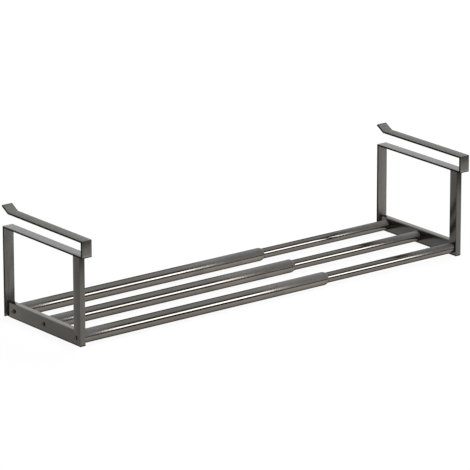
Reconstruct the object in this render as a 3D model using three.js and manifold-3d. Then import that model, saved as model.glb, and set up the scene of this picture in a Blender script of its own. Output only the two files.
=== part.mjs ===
// Extendable shoe rack that hangs on a shelf board: two end frames joined by three telescoping tubes.
// Millimetres, +X along the tubes, +Y to the rear, +Z up. The origin is on the floor, under the middle
// of the rack's outline as it stands here.
import * as THREE from "three";
import { mergeVertices } from "three/addons/utils/BufferGeometryUtils.js";
import Module from "manifold-3d";

const wasm = await Module();
wasm.setup();

// End frames, measured over the hook strips.
const FRAME_DEPTH = 223;
const FRAME_HEIGHT = 156;

// Hook strip: flat bar with sharp, mitred and welded corners, from the arm's tip to the rear leg's foot.
const STRIP_WIDTH = 20;
const STRIP_THICKNESS = 3;
const STRIP_CORNER_RADIUS = 0.6;
const SHELF_SLOT = 23.5;
const ARM_REACH = 207;
const TIP_LENGTH = 19.5;
const TIP_RISE_DEGREES = 30;

// Side bracket: an L-shaped tray of sheet steel, a front post and a bottom rail in one pressing.
const BRACKET_DEPTH = 10.7;
const BRACKET_INSET = 2.7;
const BRACKET_SHEET = 1.2;
const BRACKET_BEND_RADIUS = 0.3;
const BRACKET_SETBACK = 11;
const POST_DEPTH = 18.8;
const CONNECTOR_GAP = 7.5;

// Tubes. The middle one stands a little behind the middle between the other two.
const OUTER_TUBE_DIAMETER = 23;
const OUTER_TUBE_WALL = 1.2;
const OUTER_TUBE_LENGTH = 512;
const INNER_TUBE_WALL = 1;
const INNER_TUBE_LENGTH = 447.5;
const MIDDLE_TUBE_OFFSET = 2.85;
// How much further the inner tubes can be pulled out before their glide plugs meet the bushes.
const PULL_OUT_LEFT = 135.2;

// Guide bush in the mouth of an outer tube, and glide plug on the hidden end of an inner tube.
const BUSH_WALL = 1.1;
const BUSH_BODY_LENGTH = 25;
const BUSH_NOSE_LENGTH = 7;
const BUSH_NOSE_LIP = 0.6;
const GLIDE_HEAD_LENGTH = 12;
const GLIDE_SPIGOT_LENGTH = 18;

// End plugs and their screws.
const END_PLUG_FLOOR = 7.2;
const SCREW_DIAMETER = 5;
const SCREW_LENGTH = 14;
const SCREW_HEAD_RIM = 1.3;
const SCREW_HEAD_HEIGHT = 2.2;
const SCREW_SOCKET_SIZE = 3;
const SCREW_SOCKET_DEPTH = 1.4;

// Rear connector, and the countersunk screw that holds it to the rear leg.
const CONNECTOR_WALL = 1.45;
const CONNECTOR_FLOOR = 2.5;
const CONNECTOR_SCREW_DIAMETER = 3;
const CONNECTOR_SCREW_HEAD_HEIGHT = 1.5;

// Clearances: between seated faces, round a fitted piece, round a screw, in the sliding fits, and
// between an outer tube and the flanges of the bracket that it stands in.
const SEAT_GAP = 0.2;
const FIT_GAP = 0.1;
const SCREW_GAP = 0.25;
const SLIDE_GAP = 0.1;
const TUBE_SIDE_GAP = 0.3;

const ROUND_SIDES = 32;
const BEND_SIDES = 4;
const NOSE_SIDES = 4;
// A cutting body stands this far outside what it cuts.
const CUT_MARGIN = 5;

// Colours and finishes as photographed: satin gunmetal frames, polished black nickel tubes, black fittings.
const SATIN_STEEL = { color: 0x6b6a66, roughness: 0.42, metalness: 0.85 };
const DARK_CHROME = { color: 0x77726c, roughness: 0.16, metalness: 1 };
const BUSH_PLASTIC = { color: 0x5c5b58, roughness: 0.4, metalness: 0.2 };
const PLUG_PLASTIC = { color: 0x2a2a2b, roughness: 0.6, metalness: 0 };
const BLACK_STEEL = { color: 0x232324, roughness: 0.5, metalness: 0.6 };

// Round sizes that follow from the fits: the inner tube runs in the bush, and the bush sits in the outer tube.
const outerRadius = OUTER_TUBE_DIAMETER / 2;
const outerBore = outerRadius - OUTER_TUBE_WALL;
const bushRadius = outerBore - FIT_GAP;
const bushBore = bushRadius - BUSH_WALL;
const innerRadius = bushBore - SLIDE_GAP;
const innerBore = innerRadius - INNER_TUBE_WALL;

// The rail holds an outer tube between its flanges, and so does the corner under the post.
const railHeight = OUTER_TUBE_DIAMETER + 2 * (TUBE_SIDE_GAP + BRACKET_SHEET);
const tubeZ = railHeight / 2;

// Places along X, from the left edge of the left strip: fixed and free ends of the tubes, and the webs.
const outerTubeFixedEnd = BRACKET_INSET + BRACKET_SHEET + SEAT_GAP;
const outerTubeMouth = outerTubeFixedEnd + OUTER_TUBE_LENGTH;
const bushStop = outerTubeMouth - BUSH_BODY_LENGTH;
const innerTubeHiddenEnd = bushStop - PULL_OUT_LEFT + SEAT_GAP;
const innerTubeFixedEnd = innerTubeHiddenEnd + INNER_TUBE_LENGTH;
const rightWebFace = innerTubeFixedEnd + SEAT_GAP;
const rightStripEdge = rightWebFace - BRACKET_INSET;
const overallLength = rightStripEdge + STRIP_WIDTH;

// Places along Y and Z. The tip of the arm reaches furthest to the rear, and Y = 0 lies halfway to it.
const armTop = FRAME_HEIGHT + SHELF_SLOT + STRIP_THICKNESS;
const tipAngle = THREE.MathUtils.degToRad(TIP_RISE_DEGREES);
const tipReach = TIP_LENGTH * Math.cos(tipAngle) + (STRIP_THICKNESS / 2) * Math.sin(tipAngle);
const frontY = -(ARM_REACH + tipReach) / 2;
const rearY = frontY + FRAME_DEPTH;
const railFrontY = frontY + BRACKET_SETBACK;
const railRearY = rearY - STRIP_THICKNESS - CONNECTOR_GAP;
const postTop = FRAME_HEIGHT - STRIP_THICKNESS - SEAT_GAP;
const frontTubeY = railFrontY + railHeight / 2;
const rearTubeY = railRearY - railHeight / 2;
const tubeY = {
  front: frontTubeY,
  middle: (frontTubeY + rearTubeY) / 2 + MIDDLE_TUBE_OFFSET,
  rear: rearTubeY,
};

// The connector stands in the middle of the bracket's depth, with its screw at half its height.
const connectorX = BRACKET_INSET + BRACKET_DEPTH / 2;
const connectorHole = CONNECTOR_SCREW_DIAMETER / 2 + SCREW_GAP;
const connectorWidth = 2 * (connectorHole + CONNECTOR_WALL);
const connectorScrewLength = STRIP_THICKNESS + CONNECTOR_GAP - SEAT_GAP - CONNECTOR_FLOOR;
const screwHole = SCREW_DIAMETER / 2 + SCREW_GAP;

// Shape x, y and the extrusion become Y, Z and X.
const SECTION_TO_RACK = new THREE.Matrix4().makeBasis(
  new THREE.Vector3(0, 1, 0),
  new THREE.Vector3(0, 0, 1),
  new THREE.Vector3(1, 0, 0),
);
// A lathe's Y, Z and X become X, Y and Z.
const LATHE_TO_RACK = SECTION_TO_RACK.clone().invert();

function addMesh(group, name, geometry, finish) {
  const mesh = new THREE.Mesh(geometry, new THREE.MeshStandardMaterial(finish));
  mesh.name = name;
  group.add(mesh);
  return mesh;
}

function toSolid(geometry) {
  const plain = geometry.clone();
  plain.deleteAttribute("normal");
  plain.deleteAttribute("uv");
  const merged = mergeVertices(plain, 1e-4);
  return new wasm.Manifold(
    new wasm.Mesh({
      numProp: 3,
      vertProperties: new Float32Array(merged.attributes.position.array),
      triVerts: new Uint32Array(merged.index.array),
    }),
  );
}

function toGeometry(solid) {
  const { vertProperties, triVerts } = solid.getMesh();
  const geometry = new THREE.BufferGeometry();
  geometry.setAttribute("position", new THREE.BufferAttribute(vertProperties, 3));
  geometry.setIndex(new THREE.BufferAttribute(triVerts, 1));
  geometry.computeVertexNormals();
  return geometry;
}

// A body of revolution about X from points [x, radius], which run out along the inside and back along
// the outside. The lathe turns about its own Y and wants the outside first.
function turned(points) {
  const profile = [...points, points[0]].reverse().map(([x, radius]) => new THREE.Vector2(radius, x));
  return new THREE.LatheGeometry(profile, ROUND_SIDES).applyMatrix4(LATHE_TO_RACK);
}

// A plain rod about X from one x to another.
function rod(fromX, toX, radius) {
  return turned([
    [fromX, 0],
    [toX, 0],
    [toX, radius],
    [fromX, radius],
  ]);
}

// A hollow round tube about X.
function pipe(fromX, toX, radius, bore) {
  return turned([
    [fromX, bore],
    [toX, bore],
    [toX, radius],
    [fromX, radius],
  ]);
}

// The outline of a flat bar mitred along a middle line of corners. The outer side of each corner is ground
// to a small radius, and its inner side is sharp.
function mitredBarOutline(corners, thickness, cornerRadius) {
  const shape = new THREE.Shape();
  const directions = corners.slice(1).map((corner, i) => corner.clone().sub(corners[i]).normalize());
  const leftOf = (direction) => new THREE.Vector2(-direction.y, direction.x);
  const sideLine = (side) => {
    const points = [];
    corners.forEach((corner, i) => {
      if (i === 0 || i === corners.length - 1) {
        const direction = directions[Math.min(i, directions.length - 1)];
        points.push(corner.clone().addScaledVector(leftOf(direction), (side * thickness) / 2));
        return;
      }
      const before = directions[i - 1];
      const after = directions[i];
      const turn = Math.atan2(before.cross(after), before.dot(after));
      const across = leftOf(before).add(leftOf(after)).normalize();
      const mitre = corner.clone().addScaledVector(across, (side * thickness) / 2 / Math.cos(turn / 2));
      if (side === Math.sign(turn)) {
        points.push(mitre);
        return;
      }
      const setback = cornerRadius * Math.tan(Math.abs(turn) / 2);
      const arcStart = mitre.clone().addScaledVector(before, -setback);
      const centre = arcStart.clone().addScaledVector(leftOf(before), Math.sign(turn) * cornerRadius);
      for (let step = 0; step <= BEND_SIDES; step += 1) {
        const swept = (turn * step) / BEND_SIDES;
        const spoke = leftOf(before).multiplyScalar(-Math.sign(turn) * cornerRadius);
        points.push(spoke.rotateAround(new THREE.Vector2(), swept).add(centre));
      }
    });
    return points;
  };
  shape.setFromPoints([...sideLine(-1), ...sideLine(1).reverse()]);
  return shape;
}

function hookStrip() {
  const half = STRIP_THICKNESS / 2;
  const armMiddle = armTop - half;
  const barMiddle = FRAME_HEIGHT - half;
  const bend = new THREE.Vector2(frontY + ARM_REACH, armMiddle);
  const alongTip = new THREE.Vector2(Math.cos(tipAngle), Math.sin(tipAngle));
  const outline = mitredBarOutline(
    [
      bend.clone().addScaledVector(alongTip, TIP_LENGTH),
      bend,
      new THREE.Vector2(frontY + half, armMiddle),
      new THREE.Vector2(frontY + half, barMiddle),
      new THREE.Vector2(rearY - half, barMiddle),
      new THREE.Vector2(rearY - half, 0),
    ],
    STRIP_THICKNESS,
    STRIP_CORNER_RADIUS,
  );
  const bar = new THREE.ExtrudeGeometry(outline, { depth: STRIP_WIDTH, bevelEnabled: false });
  bar.applyMatrix4(SECTION_TO_RACK);
  const sinkDepth = CONNECTOR_SCREW_HEAD_HEIGHT + SEAT_GAP;
  const countersink = turned([
    [-CUT_MARGIN, 0],
    [STRIP_THICKNESS + CUT_MARGIN, 0],
    [STRIP_THICKNESS + CUT_MARGIN, connectorHole],
    [sinkDepth, connectorHole],
    [0, connectorHole + sinkDepth],
    [-CUT_MARGIN, connectorHole + sinkDepth],
  ]).applyMatrix4(connectorScrewPlace());
  return toGeometry(toSolid(bar).subtract(toSolid(countersink)));
}

// Turns a body about X into one that runs along -Y from the rear face of the leg.
function connectorScrewPlace() {
  return new THREE.Matrix4()
    .makeTranslation(connectorX, rearY, tubeZ)
    .multiply(new THREE.Matrix4().makeRotationZ(-Math.PI / 2));
}

// The L of the bracket drawn in from its outer edge by a margin.
function bracketOutline(margin) {
  const shape = new THREE.Shape();
  shape.moveTo(railFrontY + margin, margin);
  shape.lineTo(railRearY - margin, margin);
  shape.lineTo(railRearY - margin, railHeight - margin);
  shape.lineTo(railFrontY + POST_DEPTH - margin, railHeight - margin);
  shape.lineTo(railFrontY + POST_DEPTH - margin, postTop - margin);
  shape.lineTo(railFrontY + margin, postTop - margin);
  shape.closePath();
  return shape;
}

// The L as a solid from x = start on, with its edges at the start rounded off by a radius.
function bracketBlock(margin, start, length, edgeRadius) {
  const geometry = new THREE.ExtrudeGeometry(bracketOutline(margin), {
    depth: length - edgeRadius,
    bevelEnabled: true,
    bevelThickness: edgeRadius,
    bevelSize: edgeRadius,
    bevelOffset: -edgeRadius,
    bevelSegments: BEND_SIDES,
  });
  geometry.applyMatrix4(SECTION_TO_RACK);
  geometry.translate(start + edgeRadius, 0, 0);
  return toSolid(geometry);
}

// The tray with its web at x = 0 and its flanges running to x = BRACKET_DEPTH.
function sideBracket() {
  const longer = BRACKET_DEPTH + CUT_MARGIN;
  const outside = bracketBlock(0, 0, longer, BRACKET_BEND_RADIUS + BRACKET_SHEET);
  const pocket = bracketBlock(BRACKET_SHEET, BRACKET_SHEET, longer, BRACKET_BEND_RADIUS);
  const openSide = new THREE.BoxGeometry(
    2 * longer,
    railRearY - railFrontY + 2 * CUT_MARGIN,
    2 * (postTop + CUT_MARGIN),
  ).translate(BRACKET_DEPTH + longer, (railFrontY + railRearY) / 2, 0);
  let tray = outside.subtract(pocket).subtract(toSolid(openSide));
  for (const y of Object.values(tubeY)) {
    const hole = rod(-CUT_MARGIN, BRACKET_SHEET + CUT_MARGIN, screwHole);
    tray = tray.subtract(toSolid(hole.translate(0, y, tubeZ)));
  }
  return toGeometry(tray);
}

function rearConnector() {
  const length = CONNECTOR_GAP - 2 * SEAT_GAP;
  const block = new THREE.BoxGeometry(connectorWidth, length, railHeight);
  block.translate(connectorX, railRearY + CONNECTOR_GAP / 2, railHeight / 2);
  const hole = rod(0, connectorScrewLength + SEAT_GAP, connectorHole);
  hole.applyMatrix4(connectorScrewPlace());
  return toGeometry(toSolid(block).subtract(toSolid(hole)));
}

// Countersunk at a right angle, with its flat head at x = 0.
function connectorScrew() {
  const shank = CONNECTOR_SCREW_DIAMETER / 2;
  return turned([
    [0, 0],
    [connectorScrewLength, 0],
    [connectorScrewLength, shank],
    [CONNECTOR_SCREW_HEAD_HEIGHT, shank],
    [0, shank + CONNECTOR_SCREW_HEAD_HEIGHT],
  ]).applyMatrix4(connectorScrewPlace());
}

// Pan head screw with a hexagon socket. Its head stands outside x = 0 and its shank runs along +X.
function tubeScrew() {
  const shank = SCREW_DIAMETER / 2;
  const head = shank + SCREW_HEAD_RIM;
  const headTop = -SEAT_GAP - SCREW_HEAD_HEIGHT;
  const shoulder = SCREW_HEAD_HEIGHT / 2;
  const screw = turned([
    [headTop, 0],
    [SCREW_LENGTH, 0],
    [SCREW_LENGTH, shank],
    [-SEAT_GAP, shank],
    [-SEAT_GAP, head],
    [headTop + shoulder, head],
    [headTop, head - shoulder],
  ]);
  const socketRadius = SCREW_SOCKET_SIZE / Math.sqrt(3);
  const socket = new THREE.CylinderGeometry(socketRadius, socketRadius, 2 * SCREW_SOCKET_DEPTH, 6);
  socket.applyMatrix4(LATHE_TO_RACK);
  socket.translate(headTop, 0, 0);
  return toGeometry(toSolid(screw).subtract(toSolid(socket)));
}

// Plug with a blind screw hole, its flush end at x = 0.
function endPlug(bore) {
  const radius = bore - FIT_GAP;
  const holeDepth = SCREW_LENGTH - BRACKET_SHEET;
  const length = holeDepth + END_PLUG_FLOOR;
  return turned([
    [0, screwHole],
    [holeDepth, screwHole],
    [holeDepth, 0],
    [length, 0],
    [length, radius],
    [0, radius],
  ]);
}

// Body inside the tube at x below 0, and outside it a nose that rounds down to a lip round the inner tube.
function guideBush() {
  const noseEnd = SEAT_GAP + BUSH_NOSE_LENGTH;
  const drop = outerRadius - (bushBore + BUSH_NOSE_LIP);
  const nose = [];
  for (let step = NOSE_SIDES; step >= 0; step -= 1) {
    const share = step / NOSE_SIDES;
    nose.push([SEAT_GAP + BUSH_NOSE_LENGTH * share, outerRadius - drop * share * share]);
  }
  return turned([
    [-BUSH_BODY_LENGTH, bushBore],
    [noseEnd, bushBore],
    ...nose,
    [SEAT_GAP, bushRadius],
    [-BUSH_BODY_LENGTH, bushRadius],
  ]);
}

// Head outside the tube at x below 0, sliding in the outer tube, and a spigot inside the inner tube.
function glidePlug() {
  const head = outerBore - SLIDE_GAP;
  const spigot = innerBore - FIT_GAP;
  return turned([
    [-SEAT_GAP - GLIDE_HEAD_LENGTH, 0],
    [GLIDE_SPIGOT_LENGTH, 0],
    [GLIDE_SPIGOT_LENGTH, spigot],
    [-SEAT_GAP, spigot],
    [-SEAT_GAP, head],
    [-SEAT_GAP - GLIDE_HEAD_LENGTH, head],
  ]);
}

// Hook strip, bracket and rear connector of one end. Both ends are alike, with the web of the bracket on the
// left: the outer tubes stand inside the left tray, and the inner tubes butt against the right web.
function endFrame(side, stripEdge) {
  const frame = new THREE.Group();
  frame.position.x = stripEdge;
  addMesh(frame, `${side}_hook_strip`, hookStrip(), SATIN_STEEL);
  addMesh(frame, `${side}_side_bracket`, sideBracket(), SATIN_STEEL).position.x = BRACKET_INSET;
  addMesh(frame, `${side}_rear_connector`, rearConnector(), PLUG_PLASTIC);
  addMesh(frame, `${side}_connector_screw`, connectorScrew(), BLACK_STEEL);
  return frame;
}

// The plug in a tube's fixed end and the screw that holds it to the web. Both point inwards.
function tubeFixing(side, place, fixedEnd, bore) {
  const fixing = new THREE.Group();
  fixing.position.x = fixedEnd;
  fixing.scale.x = side === "right" ? -1 : 1;
  addMesh(fixing, `${side}_end_plug_${place}`, endPlug(bore), PLUG_PLASTIC);
  const screw = addMesh(fixing, `${side}_tube_screw_${place}`, tubeScrew(), BLACK_STEEL);
  screw.position.x = -BRACKET_SHEET - SEAT_GAP;
  return fixing;
}

// Everything on one tube line: outer tube with its bush, inner tube with its glide plug, and the fixings.
function tubeLine(place) {
  const line = new THREE.Group();
  line.position.set(0, tubeY[place], tubeZ);
  const outer = pipe(outerTubeFixedEnd, outerTubeMouth, outerRadius, outerBore);
  addMesh(line, `outer_tube_${place}`, outer, DARK_CHROME);
  const inner = pipe(innerTubeHiddenEnd, innerTubeFixedEnd, innerRadius, innerBore);
  addMesh(line, `inner_tube_${place}`, inner, DARK_CHROME);
  addMesh(line, `guide_bush_${place}`, guideBush(), BUSH_PLASTIC).position.x = outerTubeMouth;
  addMesh(line, `glide_plug_${place}`, glidePlug(), PLUG_PLASTIC).position.x = innerTubeHiddenEnd;
  line.add(tubeFixing("left", place, outerTubeFixedEnd, outerBore));
  line.add(tubeFixing("right", place, innerTubeFixedEnd, innerBore));
  return line;
}

const rack = new THREE.Group();
const fromLeftEdge = new THREE.Group();
fromLeftEdge.position.x = -overallLength / 2;
fromLeftEdge.add(endFrame("left", 0));
fromLeftEdge.add(endFrame("right", rightStripEdge));
for (const place of Object.keys(tubeY)) {
  fromLeftEdge.add(tubeLine(place));
}
rack.add(fromLeftEdge);

export default rack;
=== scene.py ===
# %% [markdown]
# # Extendable shoe rack
#
# Two end frames of flat bar hang on a shelf board, and three telescoping tubes between them carry
# the shoes. The rack's solids arrive as a fixed frame. This lesson dresses them: every piece that shows
# is built again with its real edges and bends, gets a finish, and rides on the half that it belongs to.

import math

import bmesh
import bpy
from mathutils import Matrix, Vector
from mathutils.geometry import tessellate_polygon


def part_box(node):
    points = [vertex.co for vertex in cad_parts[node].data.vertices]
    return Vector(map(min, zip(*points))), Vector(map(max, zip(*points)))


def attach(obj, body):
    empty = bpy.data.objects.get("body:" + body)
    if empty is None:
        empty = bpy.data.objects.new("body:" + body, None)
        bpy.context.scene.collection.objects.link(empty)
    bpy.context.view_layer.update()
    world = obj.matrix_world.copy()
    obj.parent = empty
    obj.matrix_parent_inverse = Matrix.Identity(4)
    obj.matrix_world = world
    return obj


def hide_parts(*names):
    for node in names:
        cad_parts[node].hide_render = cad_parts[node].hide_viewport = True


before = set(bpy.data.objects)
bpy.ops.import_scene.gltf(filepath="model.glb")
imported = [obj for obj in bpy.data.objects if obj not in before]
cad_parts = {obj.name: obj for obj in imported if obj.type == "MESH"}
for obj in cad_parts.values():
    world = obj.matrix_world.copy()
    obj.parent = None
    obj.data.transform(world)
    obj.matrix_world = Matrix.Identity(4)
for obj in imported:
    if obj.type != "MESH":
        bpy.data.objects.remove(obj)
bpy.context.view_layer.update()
scene = bpy.context.scene

# %% [markdown]
# ## The camera
#
# The photograph looks down on the rack from the front left, and its parallel edges hardly draw together.
# That means a camera far off with a long lens. A direction, a distance and a point to look at describe
# it fully, so the camera is turned from these and not from a typed-in rotation.

# %% Set up the camera
PICTURE_PIXELS = 470
FOCAL_PIXELS = 4220.9
SENSOR_WIDTH = 36.0
AZIMUTH = math.radians(-37.783)
ELEVATION = math.radians(17.009)
ROLL = math.radians(-0.116)
LOOK_AT = Vector((-0.0072, 0.0060, 0.0892))
CAMERA_DISTANCE = 7.128

towards_camera = Vector((
    math.sin(AZIMUTH) * math.cos(ELEVATION),
    -math.cos(AZIMUTH) * math.cos(ELEVATION),
    math.sin(ELEVATION),
))
lens_data = bpy.data.cameras.new("photo_camera")
lens_data.sensor_width = SENSOR_WIDTH
lens_data.lens = FOCAL_PIXELS * SENSOR_WIDTH / PICTURE_PIXELS
camera = bpy.data.objects.new("photo_camera", lens_data)
camera_turn = towards_camera.to_track_quat("Z", "Y").to_matrix() @ Matrix.Rotation(ROLL, 3, "Z")
camera_place = Matrix.Translation(LOOK_AT + towards_camera * CAMERA_DISTANCE)
camera.matrix_world = camera_place @ camera_turn.to_4x4()
scene.collection.objects.link(camera)
scene.camera = camera
scene.view_settings.view_transform = "Standard"
print("camera lens", round(lens_data.lens, 1), "mm")

# %% [markdown]
# ## Wires between nodes
#
# Materials, the studio's surroundings and the shape trees below are all nets of nodes. Placing each node
# by hand makes long scripts, so one small class wraps a socket: a sum written on wires adds the Math
# nodes by itself, and one method adds any other node, with its settings first and its sockets after.

# %% A class for wires
# Numbers of the Mix node's sockets for colours. Those for numbers and vectors have the same names.
MIX_SHARE = 0
MIX_FIRST = 6
MIX_SECOND = 7
MIX_RESULT = 2


class Wire:
    """An output socket of a node tree that arithmetic can be written on."""

    def __init__(self, tree, socket):
        self.tree = tree
        self.socket = socket

    @classmethod
    def node(cls, tree, kind, settings=None, sockets=None, output=0):
        made = tree.nodes.new(kind)
        for name, value in (settings or {}).items():
            if name == "stops":
                cls.set_stops(made.color_ramp, value)
            else:
                setattr(made, name, value)
        for name, value in (sockets or {}).items():
            wires = value if isinstance(value, list) else [value]
            for wire in wires:
                if isinstance(wire, Wire):
                    tree.links.new(wire.socket, made.inputs[name])
                else:
                    made.inputs[name].default_value = wire
        return cls(tree, made.outputs[output]) if made.outputs else None

    @staticmethod
    def set_stops(ramp, stops):
        while len(ramp.elements) < len(stops):
            ramp.elements.new(1.0)
        for element, (position, grey) in zip(ramp.elements, stops):
            element.position = position
            element.color = (grey, grey, grey, 1.0)

    def output(self, name):
        return Wire(self.tree, self.socket.node.outputs[name])

    def math(self, operation, first, second):
        return Wire.node(self.tree, "ShaderNodeMath", {"operation": operation}, {0: first, 1: second})

    def __add__(self, other):
        return self.math("ADD", self, other)

    def __sub__(self, other):
        return self.math("SUBTRACT", self, other)

    def __rsub__(self, other):
        return self.math("SUBTRACT", other, self)

    def __mul__(self, other):
        return self.math("MULTIPLY", self, other)

    __radd__ = __add__
    __rmul__ = __mul__

    def maximum(self, other):
        return self.math("MAXIMUM", self, other)

    def absolute(self):
        return self.maximum(self * -1.0)

    def ramp_up(self, low, high):
        """0 below low, 1 above high and a smooth rise between them."""
        sockets = {"Value": self, "From Min": low, "From Max": high}
        return Wire.node(self.tree, "ShaderNodeMapRange", {"interpolation_type": "SMOOTHSTEP"}, sockets)

    def blend(self, colour, other):
        """One colour where this wire is 0 and the other where it is 1."""
        sockets = {MIX_SHARE: self, MIX_FIRST: colour, MIX_SECOND: other}
        return Wire.node(self.tree, "ShaderNodeMix", {"data_type": "RGBA"}, sockets, MIX_RESULT)

    def tinted(self, tint):
        """This colour times another."""
        settings = {"data_type": "RGBA", "blend_type": "MULTIPLY"}
        sockets = {MIX_SHARE: 1.0, MIX_FIRST: self, MIX_SECOND: tint}
        return Wire.node(self.tree, "ShaderNodeMix", settings, sockets, MIX_RESULT)


print("wires ready")

# %% [markdown]
# ## The studio's surroundings
#
# Plated metal has no look of its own: it shows what stands round it. The photograph's tubes show a pale
# ground below, a dark band at the front horizon and a pale ceiling and backdrop. The lower left is shaded,
# which keeps the webs of the end frames dark. The world paints these by direction for reflections. The
# camera sees plain white, and diffuse light from the world stays low and even, so that the lamps do the
# modelling.

# %% Surroundings
WHITE = (1.0, 1.0, 1.0, 1.0)
AMBIENT = (0.34, 0.34, 0.345, 1.0)
GROUND_GLOW = (1.0, 0.955, 0.905, 1.0)
CEILING_GLOW = (0.97, 0.985, 1.0, 1.0)
LEFT_SHADE = 0.66
# Height of a direction, from 0 straight down to 1 straight up, and how bright it is.
FRONT_BANDS = [
    (0.0, 0.75), (0.24, 1.0), (0.385, 1.0),
    (0.415, 0.08), (0.58, 0.03), (0.835, 0.14), (0.9, 0.85),
]
# Where each change begins and ends, in parts of a direction of length 1.
TINT_CHANGE = (-0.2, 0.2)
BACKDROP_CHANGE = (0.05, 0.45)
BACKDROP_FOOT = (-0.25, -0.1)
SHADE_CHANGE = (0.2, 0.6)
SHADE_TOP = (-0.1, 0.2)

world = bpy.data.worlds.new("studio")
world.use_nodes = True
sky = world.node_tree
sky.nodes.clear()
direction = Wire.node(sky, "ShaderNodeTexCoord", output="Generated")
axes = Wire.node(sky, "ShaderNodeSeparateXYZ", sockets={"Vector": direction})
height = axes.output("Z") * 0.5 + 0.5
bands = Wire.node(sky, "ShaderNodeValToRGB", {"stops": FRONT_BANDS}, {"Fac": height})
front = bands.tinted(axes.output("Z").ramp_up(*TINT_CHANGE).blend(GROUND_GLOW, CEILING_GLOW))
behind = axes.output("Y").ramp_up(*BACKDROP_CHANGE) * axes.output("Z").ramp_up(*BACKDROP_FOOT)
below = 1.0 - axes.output("Z").ramp_up(*SHADE_TOP)
leftwards = (axes.output("X") * -1.0).ramp_up(*SHADE_CHANGE) * below
reflected = (leftwards * LEFT_SHADE).blend(behind.blend(front, CEILING_GLOW), AMBIENT)
ray = Wire.node(sky, "ShaderNodeLightPath", output="Is Camera Ray")
plain = ray.maximum(ray.output("Is Transmission Ray"))
seen = plain.blend(ray.output("Is Glossy Ray").blend(AMBIENT, reflected), WHITE)
background = Wire.node(sky, "ShaderNodeBackground", sockets={"Color": seen, "Strength": 1.0})
Wire.node(sky, "ShaderNodeOutputWorld", sockets={"Surface": background})
scene.world = world
print("surroundings with", len(FRONT_BANDS), "bands")

# %% [markdown]
# ## Floor and lamps
#
# The rack stands on a white floor that the camera sees as almost pure white, with a faint shadow left in
# it. Reflections look past the floor to the pale ground of the surroundings. Three soft lamps do the rest. A
# large one high up at the rear right lights the level faces most. A warm one in front fills the upright
# faces. A far window at the front right is there for the gloss only: it draws the bright line along each
# tube, so it is kept out of the diffuse light, as the other two are kept out of the gloss.

# %% Floor and lamps
FLOOR_SIZE = 12.0
FLOOR_COLOUR = (0.82, 0.82, 0.82, 1.0)
FLOOR_WHITENESS = 0.94
LAMPS = {
    "overhead": {
        "place": (5.4, 2.1, 7.5), "size": (6.6, 5.4),
        "glow": 12.0, "tint": (0.96, 0.98, 1.0), "gloss_only": False,
    },
    "front_fill": {
        "place": (0.15, -2.2, 1.0), "size": (1.4, 1.2),
        "glow": 4.5, "tint": (1.0, 0.93, 0.86), "gloss_only": False,
    },
    "window": {
        "place": (2.93, -3.72, 1.64), "size": (2.6, 1.5),
        "glow": 6.9, "tint": (1.0, 1.0, 1.0), "gloss_only": True,
    },
}


def new_object(name, mesh):
    piece = bpy.data.objects.new(name, mesh)
    scene.collection.objects.link(piece)
    return piece


def add_floor():
    half = FLOOR_SIZE / 2
    mesh = bpy.data.meshes.new("floor")
    corners = [(-half, -half, 0.0), (half, -half, 0.0), (half, half, 0.0), (-half, half, 0.0)]
    mesh.from_pydata(corners, [], [(0, 1, 2, 3)])
    paint = bpy.data.materials.new("floor_white")
    paint.use_nodes = True
    tree = paint.node_tree
    tree.nodes.clear()
    matt = Wire.node(tree, "ShaderNodeBsdfDiffuse", sockets={"Color": FLOOR_COLOUR})
    glow = Wire.node(tree, "ShaderNodeEmission", sockets={"Color": WHITE, "Strength": 1.0})
    camera_ray = Wire.node(tree, "ShaderNodeLightPath", output="Is Camera Ray")
    whiteness = camera_ray * FLOOR_WHITENESS
    mixed = Wire.node(tree, "ShaderNodeMixShader", sockets={0: whiteness, 1: matt, 2: glow})
    Wire.node(tree, "ShaderNodeOutputMaterial", sockets={"Surface": mixed})
    mesh.materials.append(paint)
    floor = new_object("floor", mesh)
    floor.visible_glossy = False


def add_lamp(name, place, size, glow, tint, gloss_only):
    """A soft box that faces the rack. Its power follows from the glow of its face and from its size."""
    lamp = bpy.data.lights.new(name, "AREA")
    lamp.shape = "RECTANGLE"
    lamp.color = tint
    lamp.size, lamp.size_y = size
    lamp.energy = glow * math.pi * size[0] * size[1]
    stand = bpy.data.objects.new(name, lamp)
    turn = Vector(place).to_track_quat("Z", "Y").to_matrix().to_4x4()
    stand.matrix_world = Matrix.Translation(place) @ turn
    stand.visible_camera = False
    stand.visible_glossy = gloss_only
    stand.visible_diffuse = not gloss_only
    scene.collection.objects.link(stand)
    return stand


add_floor()
for lamp_name, lamp_values in LAMPS.items():
    print(lamp_name, round(add_lamp(lamp_name, **lamp_values).data.energy, 1), "W")
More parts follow.
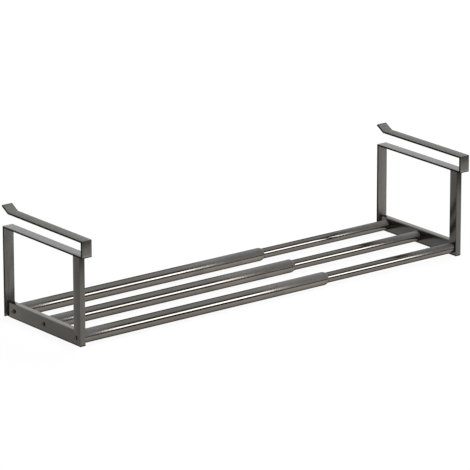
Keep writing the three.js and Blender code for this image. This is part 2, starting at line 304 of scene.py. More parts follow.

# %% [markdown]
# ## Gunmetal on the end frames
#
# The frames are plated in dark gunmetal. On the flat bar it is brushed satin, part metal and part coat, soft
# enough that reflections only show as slow changes of tone. A noise stretched along the bar brushes it. The
# upper hook has more metal, and a slightly darker tone than the bar below it, which is painted shade. The
# sheared sides are painted nearly black, and so is a thin line along each arris, at the end of the tip and
# under the drop: painted shade on the edges. The pressed brackets are smoother. They are full metal and
# mirror the tubes that meet them, which draws the dark wedges beside the tube ends. Their bends that face
# down or to the rear, and the foot of their upright faces, are painted nearly black as well: painted shade,
# and a painted shadow at the foot. All these places are masks, from the direction that a face looks in and
# from where it lies on the piece. Fine grain and orange peel go into the bump, and slow mottling into the
# colour and the gloss.

# %% Gunmetal finishes
BAR_DARK = (0.122, 0.118, 0.112, 1.0)
BAR_LIGHT = (0.164, 0.159, 0.150, 1.0)
# Tones of the upper hook, the lighter one darker than the bar's: painted shade.
ARM_SHADED_DARK = (0.122, 0.118, 0.113, 1.0)
ARM_SHADED_LIGHT = (0.152, 0.148, 0.141, 1.0)
PLATE_DARK = (0.122, 0.120, 0.115, 1.0)
PLATE_LIGHT = (0.142, 0.140, 0.134, 1.0)
# Nearly black, for painted shade on the bar's edges and on the brackets' lower bends and foot.
SHADE_BLACK = (0.008, 0.008, 0.008, 1.0)
PLATE_RIM = (0.93, 0.93, 0.88, 1.0)
BAR_METAL = 0.42
ARM_EXTRA_METAL = 0.36
BAR_ROUGHNESS = 0.22
BAR_RELIEF = 0.00003
PLATE_ROUGHNESS = 0.12
PLATE_RELIEF = 0.000008
GRAIN_SCALE = 2600.0
PEEL_SCALE = 420.0
MOTTLE_SCALE = 16.0
LINES_ALONG_BAR = (520.0, 14.0, 14.0)
# Where the masks begin and end, in metres: two heights on the bar, then distances from the middle of the bar,
# from the end of the tip and from the front of the drop, and a height on the bracket.
ARM_START = (0.157, 0.159)
DROP_FOOT = (0.1538, 0.1550)
SHADED_ARRIS = (0.0086, 0.0100)
SHADED_TIP = (-0.0010, -0.0002)
DROP_FACE = (0.0004, 0.0010)
BRACKET_FOOT = (0.0014, 0.0036)
# Where the others do, as values of a noise or as parts of a face's direction.
TONE_CHANGE = (0.34, 0.66)
MOTTLE_CHANGE = (0.32, 0.68)
SHEARED_SIDE = (0.3, 0.7)
LOWER_BEND = (0.1, 0.4)
LEVEL_FACE = (0.4, 0.8)


def new_finish(name):
    finish = bpy.data.materials.new(name)
    finish.use_nodes = True
    finish.node_tree.nodes.clear()
    return finish, finish.node_tree


def close_finish(tree, sockets):
    shader = Wire.node(tree, "ShaderNodeBsdfPrincipled", sockets=sockets)
    Wire.node(tree, "ShaderNodeOutputMaterial", sockets={"Surface": shader})


def noise(tree, where, scale, detail=2.0):
    sockets = {"Vector": where, "Scale": scale, "Detail": detail}
    return Wire.node(tree, "ShaderNodeTexNoise", sockets=sockets)


def drawn_lines(tree, where, stretch):
    """A noise with its own scale along each axis, so that it turns into lines."""
    stretched = Wire.node(tree, "ShaderNodeMapping", sockets={"Vector": where, "Scale": stretch})
    return noise(tree, stretched, 1.0, detail=3.0)


def bump(tree, relief, distance):
    return Wire.node(tree, "ShaderNodeBump", sockets={"Height": relief, "Distance": distance})


def part_of(tree, vector, axis):
    return Wire.node(tree, "ShaderNodeSeparateXYZ", sockets={"Vector": vector}).output(axis)


def satin_coat(name):
    finish, tree = new_finish(name)
    where = Wire.node(tree, "ShaderNodeTexCoord", output="Object")
    facing = Wire.node(tree, "ShaderNodeNewGeometry", output="True Normal")
    across, depth, height = [part_of(tree, where, axis) for axis in "XYZ"]
    grain = noise(tree, where, GRAIN_SCALE)
    peel = noise(tree, where, PEEL_SCALE)
    mottle = noise(tree, where, MOTTLE_SCALE, detail=4.0)
    brushed = drawn_lines(tree, where, LINES_ALONG_BAR)
    arm = height.ramp_up(*ARM_START)
    arris = (across.absolute() - bar_middle).absolute().ramp_up(*SHADED_ARRIS)
    tip_end = (height - bar_high.z).ramp_up(*SHADED_TIP)
    drop_front = 1.0 - (depth - bar_low.y).ramp_up(*DROP_FACE)
    under_drop = drop_front * (1.0 - height.ramp_up(*DROP_FOOT))
    sheared = part_of(tree, facing, "X").absolute().ramp_up(*SHEARED_SIDE)
    # Painted shade: nearly black on the sheared sides, along each arris, at the tip's end and under the drop.
    edge_shade = sheared.maximum(arris).maximum(tip_end).maximum(under_drop)
    tone = (0.5 * mottle + 0.5 * brushed).ramp_up(*TONE_CHANGE)
    # The upper hook gets its own, slightly darker tones: painted shade.
    coat = arm.blend(tone.blend(BAR_DARK, BAR_LIGHT), tone.blend(ARM_SHADED_DARK, ARM_SHADED_LIGHT))
    close_finish(tree, {
        "Base Color": edge_shade.blend(coat, SHADE_BLACK),
        "Metallic": edge_shade.maximum(BAR_METAL + ARM_EXTRA_METAL * arm),
        "Roughness": BAR_ROUGHNESS + 0.08 * mottle + 0.04 * brushed + 0.05 * grain + 0.03 * arm,
        "Normal": bump(tree, 0.6 * peel + 0.4 * grain, BAR_RELIEF),
        "IOR": 1.5,
    })
    return finish


def plating(name):
    finish, tree = new_finish(name)
    where = Wire.node(tree, "ShaderNodeTexCoord", output="Object")
    facing = Wire.node(tree, "ShaderNodeNewGeometry", output="True Normal")
    peel = noise(tree, where, PEEL_SCALE)
    mottle = noise(tree, where, MOTTLE_SCALE, detail=4.0)
    sideways = part_of(tree, facing, "X").absolute()
    down_or_back = (part_of(tree, facing, "Z") * -1.0).maximum(part_of(tree, facing, "Y"))
    # The product is 1 halfway round a bend and 0 on the flat faces beside it.
    halfway = 4.0 * sideways * (1.0 - sideways)
    bend = halfway * down_or_back.ramp_up(*LOWER_BEND)
    upright = 1.0 - part_of(tree, facing, "Z").absolute().ramp_up(*LEVEL_FACE)
    foot = upright * (1.0 - part_of(tree, where, "Z").ramp_up(*BRACKET_FOOT))
    # Painted shade: bends that face down or to the rear, and a painted shadow along the foot of the upright
    # faces, go nearly black.
    dark = bend.maximum(foot)
    plate = mottle.ramp_up(*MOTTLE_CHANGE).blend(PLATE_DARK, PLATE_LIGHT)
    close_finish(tree, {
        "Base Color": dark.blend(plate, SHADE_BLACK),
        "Metallic": 1.0,
        "Roughness": PLATE_ROUGHNESS + 0.08 * mottle + 0.15 * dark,
        "Normal": bump(tree, peel, PLATE_RELIEF),
        "Specular Tint": PLATE_RIM,
    })
    return finish


bar_low, bar_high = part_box("right_hook_strip")
bar_middle = (bar_low.x + bar_high.x) / 2
bar_coat = satin_coat("satin_bar_coat")
bracket_coat = plating("bracket_plating")
print("coats:", bar_coat.name, bracket_coat.name)

# %% [markdown]
# ## Dark chrome on the tubes
#
# The tubes are plated in black nickel: a mirror with a brown-grey cast. On the outer tubes the colour grows
# paler towards the mouth, painted light that brightens the reflection there. Drawing the tube leaves
# hair-fine lines along it, which a noise stretched along X gives. Towards both ends of the outer tubes, and
# where the inner tubes meet their bracket, the upper side is painted dull and darker: painted shade where the
# bright line and the reflection fade out. Masks along the tube and one from the upward direction, multiplied,
# take the metal back there. The painted shade starts earlier on the rear tubes, so its place leans with Y.
# The bushes in the mouths are plated to match, with the same painted shade on their upper side all along.
# Black nickel doesn't brighten much at its rims, which Specular Tint sets.

# %% Dark chrome
CHROME = (0.183, 0.174, 0.161, 1.0)
# The paler tone at the mouth of the outer tubes is painted light, a brighter reflection there. The bushes
# have this tone all over.
CHROME_PALE = (0.234, 0.222, 0.204, 1.0)
CHROME_INNER = (0.191, 0.181, 0.167, 1.0)
SMUDGE = (0.150, 0.143, 0.133, 1.0)
# Dull grey of the painted shade on the upper side near the tube ends.
DULL_SHADE = (0.106, 0.103, 0.099, 1.0)
DULL_RIM = (0.18, 0.18, 0.17, 1.0)
OUTER_ROUGHNESS = 0.06
INNER_ROUGHNESS = 0.045
BUSH_ROUGHNESS = 0.12
TUBE_RELIEF = 0.000004
LINES_ALONG_TUBE = (30.0, 1500.0, 1500.0)
SMUDGE_SCALE = 35.0
SMUDGE_CHANGE = (0.45, 0.75)
UPPER_SIDE = (0.12, 0.26)
# Distances in metres after the tube's start, where the first painted shade fades and where the painted
# brightening of the colour runs.
FIRST_DULL_SHADE = (0.010, 0.085)
BRIGHTENING_SPAN = (0.15, 0.50)
# Distances before the tube's end, where the second painted shade begins and where it is full.
OUTER_DULL_SHADE = (0.182, 0.050)
INNER_DULL_SHADE = (0.1355, 0.0455)
DULL_SHADE_LEAN = 0.1
# Places along X that lie before every piece, so that a piece with this fade has the painted shade all along
# its upper side.
ALL_DULL_SHADE = (-1.0, -0.9)


def dark_chrome(name, colours, roughness, start, fade):
    """Mirror in two colours, at the start and at the mouth, with painted shade on the upper side near the
    start and past the fade.
    """
    finish, tree = new_finish(name)
    where = Wire.node(tree, "ShaderNodeTexCoord", output="Object")
    facing = Wire.node(tree, "ShaderNodeNewGeometry", output="Normal")
    drawn = drawn_lines(tree, where, LINES_ALONG_TUBE)
    smudge = noise(tree, where, SMUDGE_SCALE, detail=4.0).ramp_up(*SMUDGE_CHANGE)
    along = part_of(tree, where, "X")
    from_start = along - start
    leaning = along + DULL_SHADE_LEAN * part_of(tree, where, "Y")
    near_end = (1.0 - from_start.ramp_up(*FIRST_DULL_SHADE)).maximum(leaning.ramp_up(*fade))
    # Painted shade: the upper side near the ends turns dull and darker, so the bright line and the reflection
    # fade there.
    upper_shade = part_of(tree, facing, "Z").ramp_up(*UPPER_SIDE) * near_end
    # From the first colour to the second along the tube: on the outer tubes, painted light that brightens the
    # reflection towards the mouth.
    plated = (0.5 * smudge).blend(from_start.ramp_up(*BRIGHTENING_SPAN).blend(*colours), SMUDGE)
    close_finish(tree, {
        "Base Color": upper_shade.blend(plated, DULL_SHADE),
        "Metallic": 1.0 - 0.95 * upper_shade,
        "Roughness": roughness + 0.04 * drawn + 0.03 * smudge + 0.3 * upper_shade,
        "Normal": bump(tree, drawn, TUBE_RELIEF),
        "IOR": 1.2,
        "Specular Tint": DULL_RIM,
    })
    return finish


outer_start, outer_mouth = [corner.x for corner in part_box("outer_tube_front")]
inner_start, inner_end = [corner.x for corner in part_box("inner_tube_front")]
outer_fade = [outer_mouth - distance for distance in OUTER_DULL_SHADE]
inner_fade = [inner_end - distance for distance in INNER_DULL_SHADE]
painted_brightening = (CHROME, CHROME_PALE)
inner_even = (CHROME_INNER, CHROME_INNER)
bush_even = (CHROME_PALE, CHROME_PALE)
outer_chrome = dark_chrome("outer_tube_chrome", painted_brightening, OUTER_ROUGHNESS, outer_start, outer_fade)
inner_chrome = dark_chrome("inner_tube_chrome", inner_even, INNER_ROUGHNESS, inner_start, inner_fade)
bush_chrome = dark_chrome("bush_chrome", bush_even, BUSH_ROUGHNESS, outer_start, ALL_DULL_SHADE)
print("tube finishes:", outer_chrome.name, inner_chrome.name, bush_chrome.name)

# %% [markdown]
# ## Plastic and screws
#
# The spacer blocks and plugs are moulded in black plastic, which carries the fine spark texture of its mould.
# The screws are black zinc: dark, half glossy, and lighter in patches where they look straight out. One
# recipe serves them all: the lighter part is a mask from one axis of the face's direction, and plastic goes
# without it.

# %% Plastic and screw finishes
PLASTIC = ((0.012, 0.012, 0.012, 1.0), (0.020, 0.020, 0.020, 1.0))
PLASTIC_ROUGHNESS = 0.5
PLASTIC_RELIEF = 0.00005
ZINC = ((0.048, 0.047, 0.045, 1.0), (0.066, 0.064, 0.061, 1.0))
ZINC_ROUGHNESS = 0.35
ZINC_RELIEF = 0.00001
OUTWARD_ZINC = (0.115, 0.112, 0.107, 1.0)
SPARK_SCALE = 1900.0
CLOUD_SCALE = 90.0
CLOUD_CHANGE = (0.3, 0.7)
OUTWARD_CLOUD = (0.0, 0.5)
OUTWARD_FACE = (0.8, 0.97)


def dark_finish(name, colours, roughness, relief, outward_axis=None):
    finish, tree = new_finish(name)
    where = Wire.node(tree, "ShaderNodeTexCoord", output="Object")
    spark = noise(tree, where, SPARK_SCALE, detail=3.0)
    cloud = noise(tree, where, CLOUD_SCALE, detail=3.0)
    colour = cloud.ramp_up(*CLOUD_CHANGE).blend(*colours)
    if outward_axis:
        facing = Wire.node(tree, "ShaderNodeNewGeometry", output="True Normal")
        outwards = part_of(tree, facing, outward_axis).absolute().ramp_up(*OUTWARD_FACE)
        colour = (outwards * cloud.ramp_up(*OUTWARD_CLOUD)).blend(colour, OUTWARD_ZINC)
    close_finish(tree, {
        "Base Color": colour,
        "Roughness": roughness + 0.08 * spark + 0.06 * cloud,
        "Normal": bump(tree, spark, relief),
        "IOR": 1.46,
    })
    return finish


black_plastic = dark_finish("black_plastic", PLASTIC, PLASTIC_ROUGHNESS, PLASTIC_RELIEF)
tube_screw_zinc = dark_finish("tube_screw_zinc", ZINC, ZINC_ROUGHNESS, ZINC_RELIEF, "X")
connector_screw_zinc = dark_finish("connector_screw_zinc", ZINC, ZINC_ROUGHNESS, ZINC_RELIEF, "Y")
print("finishes in all:", len(bpy.data.materials))

# %% [markdown]
# ## From a mesh to a piece of the rack
#
# Each shape below ends the same way. Its modifiers are made permanent, its faces are shaded smooth with the
# corners kept, and the piece is tied to a half, while the solids that it stands for are hidden.

# %% Finishing a piece
CORNER_ANGLE = math.radians(32)
EASED_ANGLE = math.radians(50)


def soften_edges(piece, width, segments=2):
    """Rounds every edge that turns sharply enough."""
    rounding = piece.modifiers.new("rounding", "BEVEL")
    rounding.width = width
    rounding.segments = segments
    rounding.limit_method = "ANGLE"
    rounding.angle_limit = EASED_ANGLE


def settle(piece):
    """Turns the piece and its modifiers into a plain mesh."""
    depsgraph = bpy.context.evaluated_depsgraph_get()
    mesh = bpy.data.meshes.new_from_object(piece.evaluated_get(depsgraph))
    piece.modifiers.clear()
    piece.data = mesh
    mesh.shade_smooth()
    mesh.set_sharp_from_angle(angle=CORNER_ANGLE)
    return piece


def join_rack(piece, body, slot, *nodes):
    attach(piece, body)
    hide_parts(*nodes)
    print(piece.name, len(piece.data.polygons), "faces, stands for", ", ".join(nodes))


print("corner angle", round(math.degrees(CORNER_ANGLE)), "degrees")

# %% [markdown]
# ## Trees of Geometry Nodes
#
# One rule shapes most of this rack: tubes, bushes and screws each repeat on three lines. Such a rule becomes
# a tree with named sizes. A helper makes the tree with its inputs, and another hangs it on a piece and sets
# the inputs by their identifiers.

# %% Helpers for trees
def new_tree(name, inputs):
    tree = bpy.data.node_groups.new(name, "GeometryNodeTree")
    tree.interface.new_socket("Geometry", in_out="OUTPUT", socket_type="NodeSocketGeometry")
    tree.interface.new_socket("Geometry", in_out="INPUT", socket_type="NodeSocketGeometry")
    for title, kind in inputs.items():
        tree.interface.new_socket(title, in_out="INPUT", socket_type=kind)
    return tree, Wire.node(tree, "NodeGroupInput", output="Geometry")


def close_tree(tree, geometry, finish):
    real = Wire.node(tree, "GeometryNodeRealizeInstances", sockets={"Geometry": geometry})
    painted = Wire.node(tree, "GeometryNodeSetMaterial", sockets={"Geometry": real, "Material": finish})
    Wire.node(tree, "NodeGroupOutput", sockets={"Geometry": painted})


def use_tree(piece, tree, values):
    modifier = piece.modifiers.new(tree.name, "NODES")
    modifier.node_group = tree
    for item in tree.interface.items_tree:
        if item.in_out == "INPUT" and item.name in values:
            modifier[item.identifier] = values[item.name]


print("tree helpers ready")

# %% [markdown]
# ## Round pieces
#
# Tubes, bushes, plugs and screws are turned or drawn round. A loft through rings of points makes any of
# them: equal rings give a tube, a ring of one point closes an end, and a six-sided ring sinks a key socket.
# Rings of any other outline work as well, with flat ends filled in.

# %% Lofting through rings
ROUND_POINTS = 96


def circle(x, radius, points=ROUND_POINTS):
    if radius == 0:
        return [Vector((x, 0.0, 0.0))]
    steps = [math.tau * i / points for i in range(points)]
    return [Vector((x, radius * math.cos(step), radius * math.sin(step))) for step in steps]


def hexagon(x, across_flats, points=ROUND_POINTS):
    sector = math.tau / 6
    ring = []
    for i in range(points):
        step = math.tau * i / points
        radius = across_flats / 2 / math.cos(step % sector - sector / 2)
        ring.append(Vector((x, radius * math.cos(step), radius * math.sin(step))))
    return ring


def loft(name, rings, ring_shaped=False, flat_ends=False):
    shell = bmesh.new()
    rows = [[shell.verts.new(point) for point in ring] for ring in rings]
    pairs = list(zip(rows, rows[1:]))
    if ring_shaped:
        pairs.append((rows[-1], rows[0]))
    for first, second in pairs:
        count = max(len(first), len(second))
        for i in range(count):
            j = (i + 1) % count
            corners = [first[i % len(first)], first[j % len(first)]]
            corners += [second[j % len(second)], second[i % len(second)]]
            shell.faces.new(list(dict.fromkeys(corners)))
    if flat_ends:
        for row in (rows[0], rows[-1]):
            for triangle in tessellate_polygon([[vertex.co for vertex in row]]):
                shell.faces.new([row[i] for i in triangle])
    bmesh.ops.recalc_face_normals(shell, faces=shell.faces)
    mesh = bpy.data.meshes.new(name)
    shell.to_mesh(mesh)
    shell.free()
    return mesh


print("a round ring has", len(circle(0.0, 1.0)), "points")

# %% [markdown]
# ## The hook strips
#
# One strip of flat bar makes the arm with its turned-up tip, the drop at the front, the top bar and the
# rear leg. Its corners are mitred, welded and ground, so they are sharp. Sweeping a section along the path
# would thin the bar at sharp corners. Instead a ribbon follows the middle of the bar, and Solidify with
# even thickness makes true mitres of it. At the rear a countersunk screw goes through the leg, so its
# seat is cut out. Last, the edges are eased a little.

# %% Hook strips
STRIP_THICKNESS = 0.003
STRIP_EASING = 0.0002
FRAME_DEPTH = 0.223
FRAME_HEIGHT = 0.156
SHELF_SLOT = 0.0235
ARM_REACH = 0.207
TIP_LENGTH = 0.0195
TIP_RISE = math.radians(30)
SEAT_GAP = 0.0002
SEAT_OVERHANG = 0.002
SEAT_DEPTH = 0.006
CONNECTOR_SHANK = 0.0015


def strip_ribbon(side):
    low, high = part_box(f"{side}_hook_strip")
    half = STRIP_THICKNESS / 2
    arm = FRAME_HEIGHT + SHELF_SLOT + half
    bar = FRAME_HEIGHT - half
    front = low.y + half
    rear = low.y + FRAME_DEPTH - half
    bend = low.y + ARM_REACH
    tip = (bend + TIP_LENGTH * math.cos(TIP_RISE), arm + TIP_LENGTH * math.sin(TIP_RISE))
    corners = [tip, (bend, arm), (front, arm), (front, bar), (rear, bar), (rear, low.z)]
    points = [(x, y, z) for y, z in corners for x in (low.x, high.x)]
    faces = [(2 * i, 2 * i + 1, 2 * i + 3, 2 * i + 2) for i in range(len(corners) - 1)]
    mesh = bpy.data.meshes.new(f"{side}_ribbon")
    mesh.from_pydata(points, [], faces)
    mesh.materials.append(bar_coat)
    return mesh


def countersink(side):
    """The seat of the connector screw as a solid to cut away, a little wider than the screw all round."""
    low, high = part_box(f"{side}_connector_screw")
    head = (high.x - low.x) / 2 + SEAT_GAP
    shank = CONNECTOR_SHANK + SEAT_GAP
    profile = [(-SEAT_OVERHANG, 0), (-SEAT_OVERHANG, head), (0.0, head)]
    profile += [(head - shank, shank), (SEAT_DEPTH, shank), (SEAT_DEPTH, 0)]
    mesh = loft(f"{side}_screw_seat", [circle(x, r) for x, r in profile])
    mesh.materials.append(bar_coat)
    place = Vector(((low.x + high.x) / 2, high.y, (low.z + high.z) / 2))
    mesh.transform(Matrix.Translation(place) @ Matrix.Rotation(-math.pi / 2, 4, "Z"))
    return new_object(f"{side}_screw_seat", mesh)


def hook_strip(side):
    strip = new_object(f"{side}_flat_bar", strip_ribbon(side))
    gauge = strip.modifiers.new("gauge", "SOLIDIFY")
    gauge.thickness = STRIP_THICKNESS
    gauge.offset = 0.0
    gauge.use_even_offset = True
    seat = countersink(side)
    cut = strip.modifiers.new("screw_seat", "BOOLEAN")
    cut.operation = "DIFFERENCE"
    cut.object = seat
    soften_edges(strip, STRIP_EASING)
    settle(strip)
    bpy.data.objects.remove(seat)
    join_rack(strip, f"{side}_half", "satin_steel", f"{side}_hook_strip")


for end in ("left", "right"):
    hook_strip(end)

# %% [markdown]
# ## The side brackets
#
# Each bracket is pressed from sheet into an L-shaped tray: a flat web and a flange turned to the right
# all the way round. Both ends use the same bracket, so the web is on the left at both: the outer tubes
# stand inside the left tray, and the inner tubes butt against the right web. Pressing leaves round bends
# and corners. The tray is lofted through copies of its own outline. From the web each ring grows over the
# outer bend, up the flange, round the rim and back down inside. The corners keep their centres from ring to
# ring, so the sheet has the same gauge everywhere.

# %% Side brackets
SHEET = 0.0012
BEND_OUTSIDE = 0.0015
CORNER_RADIUS = 0.0017
CORNER_STEPS = 5
BEND_STEPS = 5
RIM_EASING = 0.0002
POST_DEPTH = 0.0188
RAIL_HEIGHT = 0.026


def bracket_corners(low, high):
    post_rear = low.y + POST_DEPTH
    rail_top = low.z + RAIL_HEIGHT
    corners = [(low.y, low.z), (high.y, low.z), (high.y, rail_top)]
    corners += [(post_rear, rail_top), (post_rear, high.z), (low.y, high.z)]
    return [Vector(corner) for corner in corners]


def bracket_ring(corners, x, inset):
    """The L with round corners, drawn in by an inset."""
    ring = []
    for i, corner in enumerate(corners):
        before = (corners[i - 1] - corner).normalized()
        after = (corners[(i + 1) % len(corners)] - corner).normalized()
        hollow = before.cross(after) > 0
        radius = CORNER_RADIUS + (inset if hollow else -inset)
        centre = corner + (before + after) * CORNER_RADIUS
        for step in range(CORNER_STEPS + 1):
            angle = math.pi / 2 * step / CORNER_STEPS
            y, z = centre - (after * math.cos(angle) + before * math.sin(angle)) * radius
            ring.append(Vector((x, y, z)))
    return ring


def tray_section(depth):
    """Pairs of depth behind the web's face and inset, from the web's face round to its back."""
    inside = BEND_OUTSIDE - SHEET
    turns = [math.pi / 2 * step / BEND_STEPS for step in range(BEND_STEPS + 1)]
    outer = [(1 - math.cos(turn), 1 - math.sin(turn)) for turn in turns]
    section = [(BEND_OUTSIDE * deep, BEND_OUTSIDE * inset) for deep, inset in outer]
    section += [(depth - RIM_EASING, 0.0), (depth, RIM_EASING)]
    section += [(depth, SHEET - RIM_EASING), (depth - RIM_EASING, SHEET)]
    section += [(SHEET + inside * deep, SHEET + inside * inset) for deep, inset in reversed(outer)]
    return section


def side_bracket(side):
    low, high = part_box(f"{side}_side_bracket")
    corners = bracket_corners(low, high)
    section = tray_section(high.x - low.x)
    rings = [bracket_ring(corners, low.x + deep, inset) for deep, inset in section]
    mesh = loft(f"{side}_tray", rings, flat_ends=True)
    mesh.materials.append(bracket_coat)
    bracket = settle(new_object(f"{side}_pressed_bracket", mesh))
    join_rack(bracket, f"{side}_half", "satin_steel", f"{side}_side_bracket")


for end in ("left", "right"):
    side_bracket(end)

# %% [markdown]
# ## A tree for rows of three
#
# The rack has three tube lines, and every round piece sits on each of them. One shape is made at the origin,
# and a tree sets a copy on each line. The middle line stands a little behind the middle, so the tree takes
# the three places as inputs instead of an even spacing.

# %% The row tree
PLACES = ("front", "middle", "rear")
SIZE = "NodeSocketFloat"
row_tree, row_in = new_tree("row_on_tube_lines", {
    "Front": SIZE, "Middle": SIZE, "Rear": SIZE, "Height": SIZE, "Finish": "NodeSocketMaterial",
})
lines = []
for title in ("Front", "Middle", "Rear"):
    spot_sockets = {"Y": row_in.output(title), "Z": row_in.output("Height")}
    spot = Wire.node(row_tree, "ShaderNodeCombineXYZ", sockets=spot_sockets)
    lines.append(Wire.node(row_tree, "GeometryNodePoints", sockets={"Count": 1, "Position": spot}))
row_points = Wire.node(row_tree, "GeometryNodeJoinGeometry", sockets={"Geometry": lines})
row_sockets = {"Points": row_points, "Instance": row_in}
row = Wire.node(row_tree, "GeometryNodeInstanceOnPoints", sockets=row_sockets)
close_tree(row_tree, row, row_in.output("Finish"))
tube_boxes = [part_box(f"outer_tube_{place}") for place in PLACES]
tube_lines = [(low + high) / 2 for low, high in tube_boxes]


def on_tube_lines(name, mesh, finish, body, slot, node):
    """Sets a shape on the three lines as one piece. The node's name has the place left open."""
    piece = new_object(name, mesh)
    use_tree(piece, row_tree, {
        "Front": tube_lines[0].y, "Middle": tube_lines[1].y, "Rear": tube_lines[2].y,
        "Height": tube_lines[0].z, "Finish": finish,
    })
    settle(piece)
    join_rack(piece, body, slot, *[node.format(place) for place in PLACES])


print("tube lines at", [round(line.y, 4) for line in tube_lines])

# %% [markdown]
# ## Tubes
#
# Outer and inner tubes are cut from drawn stock, with the burr taken off the ends. Each is a ring-shaped
# loft: along the bore, over the end, back along the outside. The wall is real, so that the mouth and the
# sliding fit look right in every position.

# %% Tubes
OUTER_WALL = 0.0012
INNER_WALL = 0.001
DEBURR = 0.00025


def tube(name, start, end, radius, wall):
    bore = radius - wall
    profile = [
        (start + DEBURR, bore), (end - DEBURR, bore),
        (end, bore + DEBURR), (end, radius - DEBURR),
        (end - DEBURR, radius), (start + DEBURR, radius),
        (start, radius - DEBURR), (start, bore + DEBURR),
    ]
    return loft(name, [circle(x, r) for x, r in profile], ring_shaped=True)


def tube_from(node, wall):
    low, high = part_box(node)
    return tube(node.replace("_front", "_shape"), low.x, high.x, (high.z - low.z) / 2, wall)


outer_shape = tube_from("outer_tube_front", OUTER_WALL)
on_tube_lines("outer_tubes", outer_shape, outer_chrome, "left_half", "dark_chrome", "outer_tube_{}")
inner_shape = tube_from("inner_tube_front", INNER_WALL)
on_tube_lines("inner_tubes", inner_shape, inner_chrome, "right_half", "dark_chrome", "inner_tube_{}")

# %% [markdown]
# ## Guide bushes
#
# A plated plastic bush sits in the mouth of each outer tube and guides the inner one. Only its nose shows:
# it starts at the tube's full width, rounds down and ends in a thin lip round the inner tube. The curve is
# a square law, flat at first and then steeper, as in the photograph.

# %% Guide bushes
BUSH_WALL = 0.0011
BUSH_FIT = 0.0001
NOSE_LIP = 0.0006
NOSE_STEPS = 10


def guide_bush():
    low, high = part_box("guide_bush_front")
    mouth = outer_mouth + SEAT_GAP
    outside = (high.z - low.z) / 2
    body = outside - OUTER_WALL - BUSH_FIT
    bore = body - BUSH_WALL
    drop = outside - (bore + NOSE_LIP)
    profile = [(low.x, bore), (high.x - DEBURR, bore), (high.x, bore + DEBURR)]
    for step in range(NOSE_STEPS, -1, -1):
        share = step / NOSE_STEPS
        profile.append((mouth + (high.x - mouth) * share, outside - drop * share * share))
    profile += [(mouth, body), (low.x, body)]
    return loft("guide_bush_shape", [circle(x, r) for x, r in profile], ring_shaped=True)


on_tube_lines("guide_bushes", guide_bush(), bush_chrome, "left_half", "bush_plastic", "guide_bush_{}")

# %% [markdown]
# ## The window's line
#
# The far window is there only for the bright line along the tubes. Seen from behind, the level bars would
# mirror it too and flare to white. Light linking keeps it where it belongs: a collection of receivers on
# the lamp names the pieces that it may shine on.

# %% Keep the window to the tubes
receivers = bpy.data.collections.new("window_receivers")
for round_piece in ("outer_tubes", "inner_tubes", "guide_bushes"):
    receivers.objects.link(bpy.data.objects[round_piece])
bpy.data.objects["window"].light_linking.receiver_collection = receivers

# %% [markdown]
# ## Tube screws
#
# A button head screw holds each tube to the web of its bracket from the far side. The head is domed, with a
# six-sided socket for the key. The loft runs from the tip of the shank to the rim, over the dome, and down
# into the socket. The right-hand screws are the same shape turned half round, with their heads in the tray.

# %% Tube screws
SCREW_POINTS = 48
SCREW_SHANK = 0.0025
HEAD_HEIGHT = 0.0022
HEAD_RIM = 0.0006
DOME_STEPS = 6
SCREW_SOCKET = 0.003
SOCKET_DEPTH = 0.0014
SOCKET_MOUTH = 0.00216


def tube_screw(side):
    low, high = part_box(f"{side}_tube_screw_front")
    length = high.x - low.x
    head = (high.z - low.z) / 2
    profile = [(length, 0), (length, SCREW_SHANK - DEBURR), (length - DEBURR, SCREW_SHANK)]
    profile += [(HEAD_HEIGHT, SCREW_SHANK), (HEAD_HEIGHT, head)]
    for step in range(DOME_STEPS + 1):
        angle = math.pi / 2 * step / DOME_STEPS
        radius = head - (head - SOCKET_MOUTH) * (1 - math.cos(angle))
        profile.append(((HEAD_HEIGHT - HEAD_RIM) * (1 - math.sin(angle)), radius))
    rings = [circle(x, r, SCREW_POINTS) for x, r in profile]
    rings += [hexagon(x, SCREW_SOCKET, SCREW_POINTS) for x in (0.0, SOCKET_DEPTH)]
    rings.append(circle(SOCKET_DEPTH + DEBURR, 0))
    mesh = loft(f"{side}_tube_screw_shape", rings)
    if side == "right":
        mesh.transform(Matrix.Translation((high.x, 0.0, 0.0)) @ Matrix.Rotation(math.pi, 4, "Z"))
    else:
        mesh.transform(Matrix.Translation((low.x, 0.0, 0.0)))
    return mesh


for end in ("left", "right"):
    screws = tube_screw(end)
    nodes = end + "_tube_screw_{}"
    on_tube_lines(f"{end}_button_screws", screws, tube_screw_zinc, f"{end}_half", "black_screw", nodes)

# %% [markdown]
# ## Spacer blocks and their screws
#
# Between the rail's rear end and the rear leg sits a small black block, held by a countersunk screw from
# behind. It is a moulding, so it has round edges and a shallow hollow in both sides, where the mould
# saves material.

# %% Spacer blocks
SPACER_RIM = 0.0014
HOLLOW_SLOPE = 0.0006
HOLLOW_DEPTH = 0.0007
SPACER_EASING = 0.0003
SIDEWAYS = 0.9
CONNECTOR_SOCKET = 0.002
CONNECTOR_SOCKET_DEPTH = 0.0009
CONNECTOR_SOCKET_POINT = 0.001


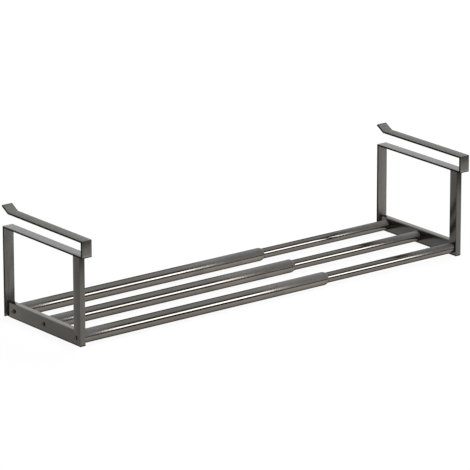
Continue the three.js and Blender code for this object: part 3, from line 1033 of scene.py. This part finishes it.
def spacer_block(side):
    low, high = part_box(f"{side}_rear_connector")
    block = bmesh.new()
    bmesh.ops.create_cube(block, size=1.0)
    bmesh.ops.scale(block, vec=high - low, verts=block.verts)
    bmesh.ops.translate(block, vec=(low + high) / 2, verts=block.verts)
    sides = [face for face in block.faces if abs(face.normal.x) > SIDEWAYS]
    bmesh.ops.inset_individual(block, faces=sides, thickness=SPACER_RIM, depth=0.0)
    bmesh.ops.inset_individual(block, faces=sides, thickness=HOLLOW_SLOPE, depth=-HOLLOW_DEPTH)
    mesh = bpy.data.meshes.new(f"{side}_spacer_shape")
    block.to_mesh(mesh)
    block.free()
    mesh.materials.append(black_plastic)
    piece = new_object(f"{side}_spacer_block", mesh)
    soften_edges(piece, SPACER_EASING, 3)
    piece.modifiers.new("flat_faces", "WEIGHTED_NORMAL").keep_sharp = True
    settle(piece)
    join_rack(piece, f"{side}_half", "black_plastic", f"{side}_rear_connector")


def connector_screw(side):
    low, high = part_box(f"{side}_connector_screw")
    head = (high.x - low.x) / 2
    length = high.y - low.y
    profile = [(length, 0), (length, CONNECTOR_SHANK - DEBURR), (length - DEBURR, CONNECTOR_SHANK)]
    profile += [(head - CONNECTOR_SHANK, CONNECTOR_SHANK)]
    profile += [(DEBURR, head - DEBURR), (0.0, head - 2 * DEBURR)]
    rings = [circle(x, r, SCREW_POINTS) for x, r in profile]
    rings += [hexagon(x, CONNECTOR_SOCKET, SCREW_POINTS) for x in (0.0, CONNECTOR_SOCKET_DEPTH)]
    rings.append(circle(CONNECTOR_SOCKET_POINT, 0))
    mesh = loft(f"{side}_connector_screw_shape", rings)
    place = Vector(((low.x + high.x) / 2, high.y, (low.z + high.z) / 2))
    mesh.transform(Matrix.Translation(place) @ Matrix.Rotation(-math.pi / 2, 4, "Z"))
    mesh.materials.append(connector_screw_zinc)
    piece = settle(new_object(f"{side}_countersunk_screw", mesh))
    join_rack(piece, f"{side}_half", "black_screw", f"{side}_connector_screw")


for end in ("left", "right"):
    spacer_block(end)
    connector_screw(end)

# %% [markdown]
# ## What stays as it is
#
# The plugs inside the tubes never show. Their solids are right as they are, so they stay and only get
# the finish of black plastic.

# %% Hidden plugs
hidden = [node for name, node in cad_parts.items() if "plug" in name]
for node in hidden:
    for finish_slot in node.material_slots:
        finish_slot.material = black_plastic
print("plugs kept:", len(hidden))
